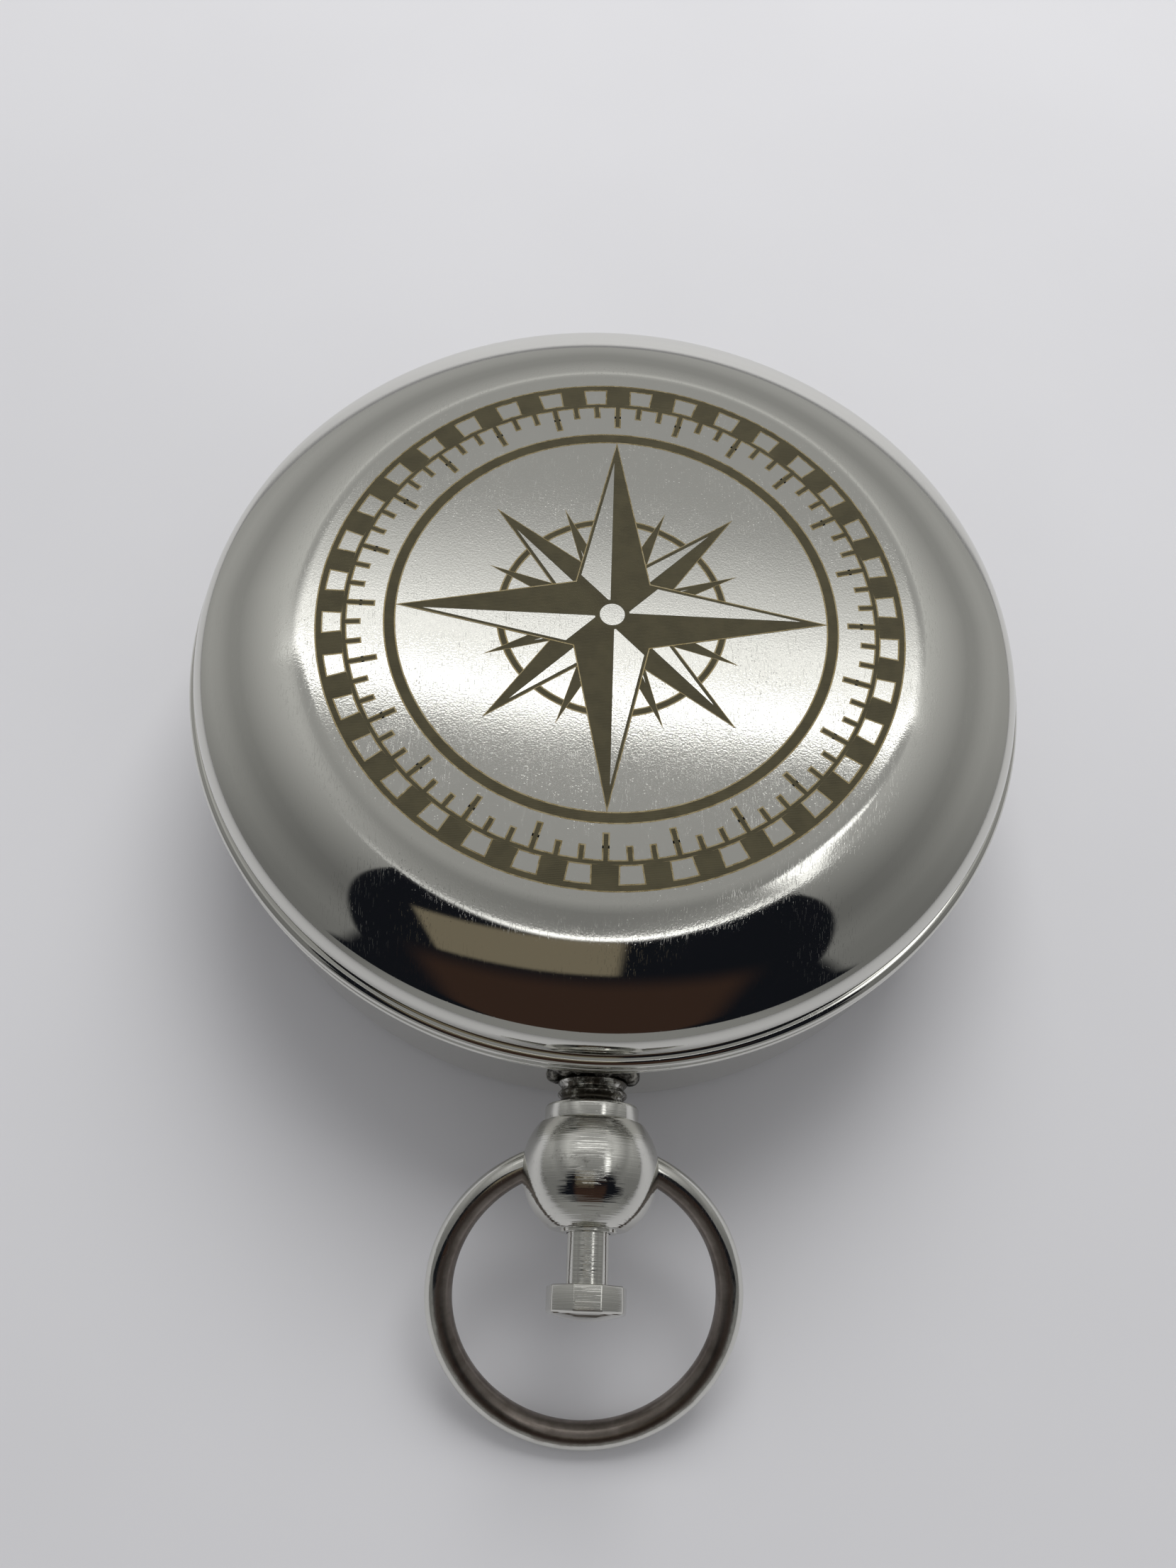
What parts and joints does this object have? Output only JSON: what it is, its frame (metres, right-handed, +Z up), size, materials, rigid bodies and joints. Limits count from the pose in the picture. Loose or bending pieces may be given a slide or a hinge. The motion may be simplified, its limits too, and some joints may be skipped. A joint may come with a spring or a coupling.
{
  "type": "pocket compass",
  "caption": "Closed round pocket compass in a polished nickel hunter case with a push button in a ball pendant, a wire bow and a sprung hinged lid.",
  "frame": {"origin": "centre of the case's flat underside, on the surface that it rests on", "axes": "+Z up out of the lid, -Y towards the pendant, button and bow, +Y towards the hinge"},
  "size_m": [0.05, 0.069, 0.0163],
  "materials": {
    "polished_nickel": "polished nickel plate on brass",
    "turned_nickel": "nickel plate over fine turning marks",
    "spring_steel": "plain steel",
    "brass": "satin",
    "dial_print": "printed, matt",
    "needle_paint": "one half painted",
    "jewel": "polished",
    "crystal": "clear"
  },
  "bodies": {
    "case": {"case_back": "polished_nickel", "case_hinge_block": "polished_nickel", "hinge_pin": "spring_steel", "pendant_neck": "turned_nickel", "pendant_collar": "polished_nickel", "pendant_ball": "polished_nickel", "stem_bush": "turned_nickel", "compass_bowl": "brass", "dial_plate": "dial_print", "pivot_post": "brass", "glass": "crystal", "bezel_ring": "brass", "button_spring": "spring_steel", "lid_spring": "spring_steel"},
    "lid": {"lid_shell": "polished_nickel", "lid_hinge_block": "polished_nickel", "lid_catch_plate": "spring_steel"},
    "button": {"push_stem": "turned_nickel", "button_head": "turned_nickel", "catch_hook": "spring_steel", "stem_stop_ring": "spring_steel"},
    "bow": {"bow": "polished_nickel"},
    "needle": {"needle_blade": "needle_paint", "needle_cap": "brass", "needle_jewel": "jewel"}
  },
  "joints": [
    {"name": "lid_hinge", "type": "hinge", "parent": "case", "child": "lid", "pos_m": [0, 0.0247, 0.0108], "axis": [-1, 0, 0], "range_deg": [0, 95], "deforming": ["lid_spring"]},
    {"name": "button_push", "type": "slide", "parent": "case", "child": "button", "axis": [0, 1, 0], "range_m": [0, 0.001], "stiffness_N_per_m": 1500, "springref_m": -0.001, "deforming": ["button_spring"]},
    {"name": "bow_swing", "type": "hinge", "parent": "case", "child": "bow", "pos_m": [0, -0.02968, 0.008], "axis": [-1, 0, 0], "range_deg": [-90, 155]},
    {"name": "needle_spin", "type": "hinge", "parent": "case", "child": "needle", "pos_m": [0, 0, 0.0066], "axis": [0, 0, 1], "continuous": true}
  ]
}
